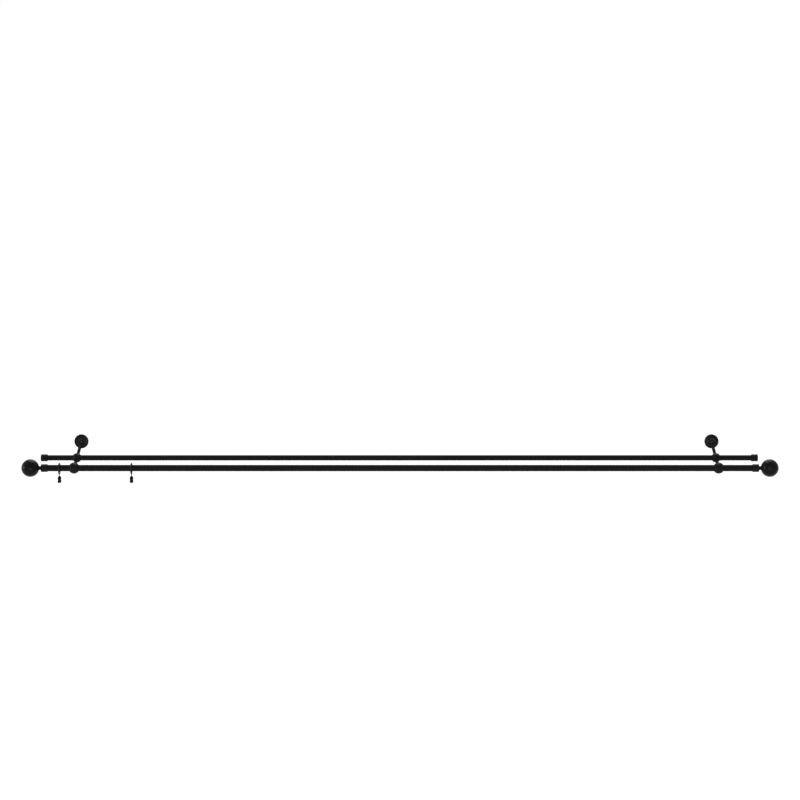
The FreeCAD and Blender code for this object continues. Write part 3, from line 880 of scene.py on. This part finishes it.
def stage_floor():
    """A pale floor far below the pole. It glows only where it is seen, so it keeps the pole's shadow."""
    half = FLOOR_SIZE / 2
    mesh = bpy.data.meshes.new("floor")
    corners = [(x * half, y * half, FLOOR_Z) for x, y in ((-1, -1), (1, -1), (1, 1), (-1, 1))]
    mesh.from_pydata(corners, [], [(0, 1, 2, 3)])
    floor = bpy.data.objects.new("floor", mesh)
    bpy.context.scene.collection.objects.link(floor)
    finish = Finish("pale_floor")
    diffuse = finish.node("ShaderNodeBsdfDiffuse", None, {"Color": grey(FLOOR_SHADE)})
    strength = finish.seen() * FLOOR_GLOW
    glow = finish.node("ShaderNodeEmission", None, {"Color": grey(1.0), "Strength": strength})
    both = finish.node("ShaderNodeAddShader", None, {0: diffuse, 1: glow})
    finish.node("ShaderNodeOutputMaterial", None, {"Surface": both})
    mesh.materials.append(finish.material)


def soft_world():
    """White where it is seen, and a plain ambient light to everything else."""
    world = bpy.data.worlds.new("studio")
    world.use_nodes = True
    bpy.context.scene.world = world
    sky = Nodes(world.node_tree)
    strength = AMBIENT + (1 - AMBIENT) * sky.seen()
    background = sky.node("ShaderNodeBackground", None, {"Color": grey(1.0), "Strength": strength})
    sky.node("ShaderNodeOutputWorld", None, {"Surface": background})


def softbox(name, place, size, power):
    """A rectangular area lamp at place that faces the middle of the pole."""
    lamp = bpy.data.lights.new(name, "AREA")
    lamp.shape = "RECTANGLE"
    lamp.size, lamp.size_y = size
    lamp.energy = power
    stand = bpy.data.objects.new(name, lamp)
    bpy.context.scene.collection.objects.link(stand)
    stand.location = place
    stand.rotation_euler = (Vector(STUDIO_MIDDLE) - Vector(place)).to_track_quat("-Z", "Y").to_euler()


def photo_camera():
    """The camera, back from the front rod's middle along the view, and raised square to it."""
    view = Vector((0, math.cos(CAMERA_PITCH), -math.sin(CAMERA_PITCH)))
    up = Vector((0, math.sin(CAMERA_PITCH), math.cos(CAMERA_PITCH)))
    aim = Vector((CAMERA_MIDDLE_X, front_axis[1], front_axis[2]))
    data = bpy.data.cameras.new("camera")
    data.sensor_width = SENSOR_WIDTH
    data.lens = CAMERA_FOCAL_PX / IMAGE_WIDTH * SENSOR_WIDTH
    data.clip_start, data.clip_end = CAMERA_CLIP
    camera = bpy.data.objects.new("camera", data)
    bpy.context.scene.collection.objects.link(camera)
    camera.location = aim - view * CAMERA_DISTANCE + up * CAMERA_RISE
    camera.rotation_euler = (math.pi / 2 - CAMERA_PITCH, 0, 0)
    bpy.context.scene.camera = camera


def dress():
    """Gives every node its finish, and adds the pieces that replace or complete the nodes."""
    rod = rod_coat(level=0.0038, roughness=0.58, specular=0.06)
    fitting = powder_coat("fitting_coat", level=0.003, roughness=0.5, specular=0.08)
    arm = powder_coat("arm_coat", level=0.0045, roughness=0.56, specular=0.015)
    cup = powder_coat("rosette_coat", level=0.0026, roughness=0.36, specular=0.085)
    ball = powder_coat("ball_lacquer", level=0.0024, roughness=0.28, specular=0.065,
                       peel_height=0.01 * MM)
    ring = worn_ring_coat(level=0.014, roughness=0.48, specular=0.1)
    clip = moulded_plastic(level=0.002, roughness=0.45, specular=0.05)
    blackened = steel("blackened_steel", level=0.06, roughness=0.34, drawn_scale=2600.0)
    bright = steel("spring_steel", level=0.5, roughness=0.22, drawn_scale=(900.0, 4000.0, 4000.0))
    finishes = {
        "rod_black": rod, "fitting_black": fitting, "ball_black": ball, "ring_black": ring,
        "clip_black": clip, "screw_steel": blackened, "spring_steel": bright,
    }
    for subpart in frame["record"]["subparts"]:
        node = frame["nodes"][subpart["node"]]
        node.data.materials.clear()
        node.data.materials.append(finishes[subpart["material_slot"]])
    rod_tube("front_rod", rod)
    rod_tube("rear_rod", rod)
    rear_caps(fitting)
    finial_balls(ball)
    finial_screws(blackened)
    grub_screws(blackened)
    for side in SIDES:
        bracket_arms(side, arm)
        weld_bead(side, fitting)
        frame["nodes"][side + "_rosette"].data.materials[0] = cup
        softened(side + "_wall_plate", SOFT_EDGE["plate"], fitting, "fitting_black", "pole")
        softened(side + "_rear_holder", SOFT_EDGE["holder"], fitting, "fitting_black", "pole")
        softened(side + "_front_holder", SOFT_EDGE["holder"], fitting, "fitting_black", "pole")
    for name in RINGS:
        curtain_ring(name, ring)
        softened(name + "_ring_eyelet", SOFT_EDGE["eyelet"], ring, "ring_black", name + "_ring")
        softened(name + "_clip_body", SOFT_EDGE["clip"], clip, "clip_black", name + "_clip")
        softened(name + "_clip_jaw", SOFT_EDGE["clip"], clip, "clip_black", name + "_jaw")
        lip_teeth(name, clip)
        clip_pin(name, "hanger", blackened)
        clip_pin(name, "pivot", blackened)
        torsion_spring(name, bright)


dress()
stage_floor()
soft_world()
for lamp_name, (place, size, power) in SOFTBOXES.items():
    softbox(lamp_name, place, size, power)
photo_camera()
bpy.context.scene.view_settings.view_transform = "Standard"
